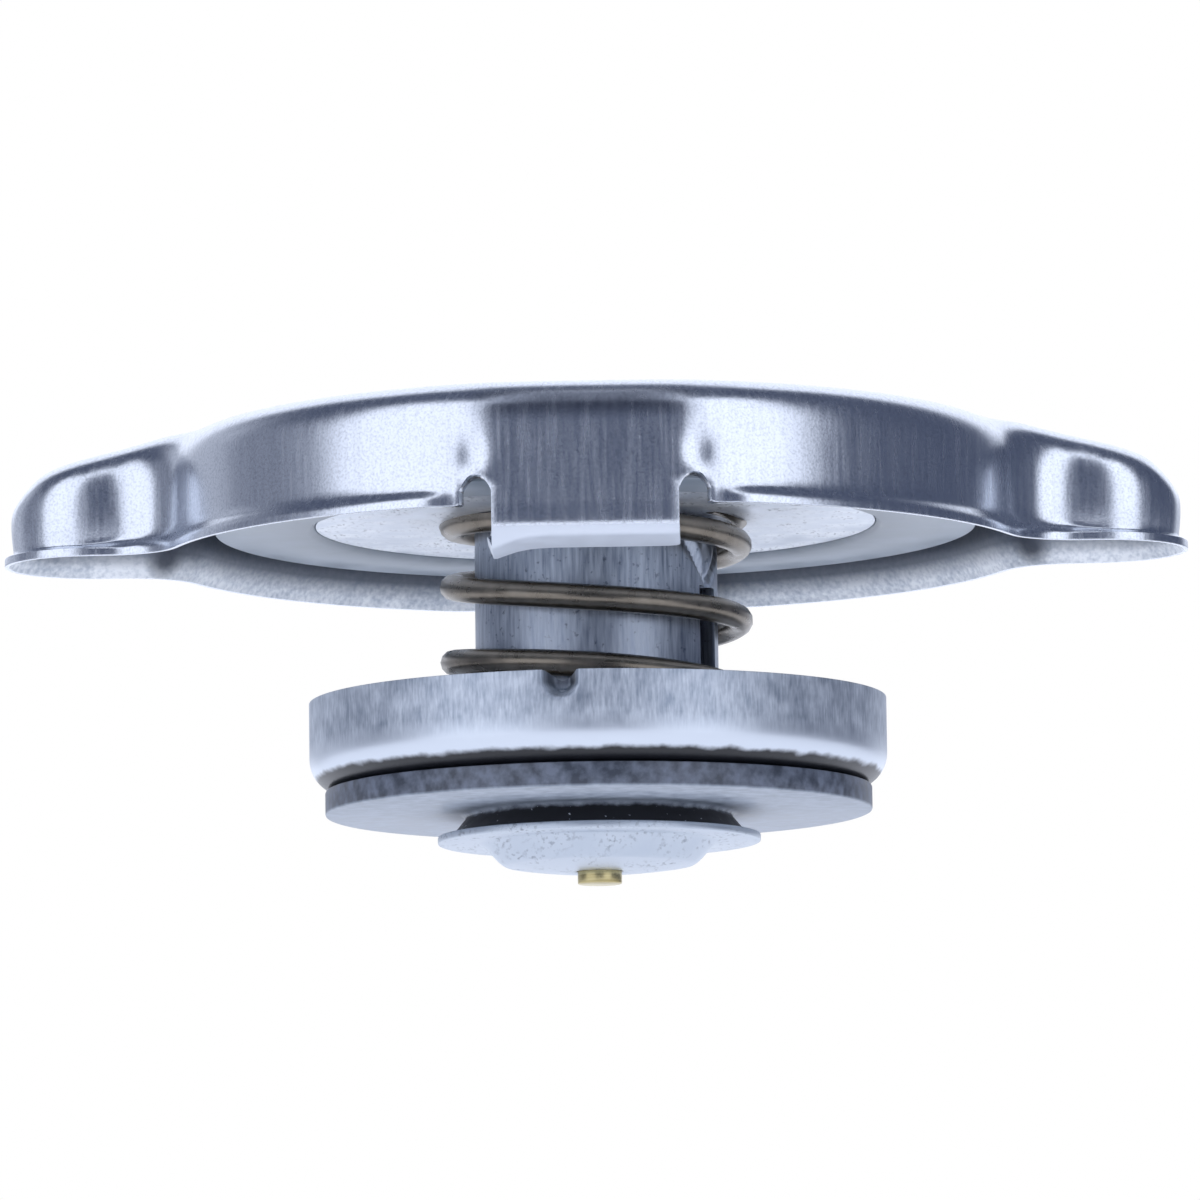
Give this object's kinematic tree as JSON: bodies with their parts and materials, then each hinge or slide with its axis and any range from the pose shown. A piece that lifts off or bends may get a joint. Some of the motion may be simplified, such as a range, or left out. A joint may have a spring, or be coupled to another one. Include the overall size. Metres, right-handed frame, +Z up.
{
  "type": "radiator cap",
  "caption": "Two-eared bayonet radiator cap in pressed steel, with an upper neck seal, a sprung pressure valve on a drawn stem and a vacuum valve on a brass pin.",
  "frame": {"origin": "on the axis, at the plane where the upper seal meets the filler neck's rim", "axes": "+Z up out of the neck, +X along the ears, -Y towards the pictured tang"},
  "size_m": [0.0806, 0.057, 0.031],
  "materials": {
    "shell_steel": "bright drawn and plated sheet with fine draw lines",
    "zinc_steel": "pale zinc plate with fine dark specks",
    "cup_steel": "dull zinc plate, brighter at its lower corner",
    "stem_steel": "drawn tube with lines along it and small pits",
    "spring_steel": "warm grey drawn wire",
    "upper_rubber": "smooth moulded rubber, pale at a low angle",
    "gasket_rubber": "moulded rubber, dusty below",
    "pin_brass": "turned brass"
  },
  "bodies": {
    "cap": {"shell": "shell_steel"},
    "stem": {"crown_rivet": "zinc_steel", "crown_washer": "zinc_steel", "friction_disc": "zinc_steel", "upper_seal": "upper_rubber", "seal_plate": "zinc_steel", "stem": "stem_steel", "pressure_spring": "spring_steel"},
    "pressure_valve": {"valve_cup": "cup_steel", "spring_plate": "zinc_steel", "pressure_seal": "gasket_rubber", "vacuum_bridge": "zinc_steel", "vacuum_spring": "spring_steel"},
    "vacuum_valve": {"vacuum_disc": "zinc_steel", "vacuum_pin": "pin_brass", "vacuum_retainer": "zinc_steel"}
  },
  "joints": [
    {"name": "inner_swivel", "type": "hinge", "parent": "cap", "child": "stem", "pos_m": [0, 0, 0], "axis": [0, 0, 1], "continuous": true},
    {"name": "pressure_lift", "type": "slide", "parent": "stem", "child": "pressure_valve", "axis": [0, 0, 1], "range_m": [0, 0.002], "stiffness_N_per_m": 2000, "springref_m": -0.001, "deforming": ["pressure_spring"]},
    {"name": "vacuum_drop", "type": "slide", "parent": "pressure_valve", "child": "vacuum_valve", "axis": [0, 0, -1], "range_m": [0, 0.0025], "stiffness_N_per_m": 250, "springref_m": -0.0005, "deforming": ["vacuum_spring"]}
  ]
}
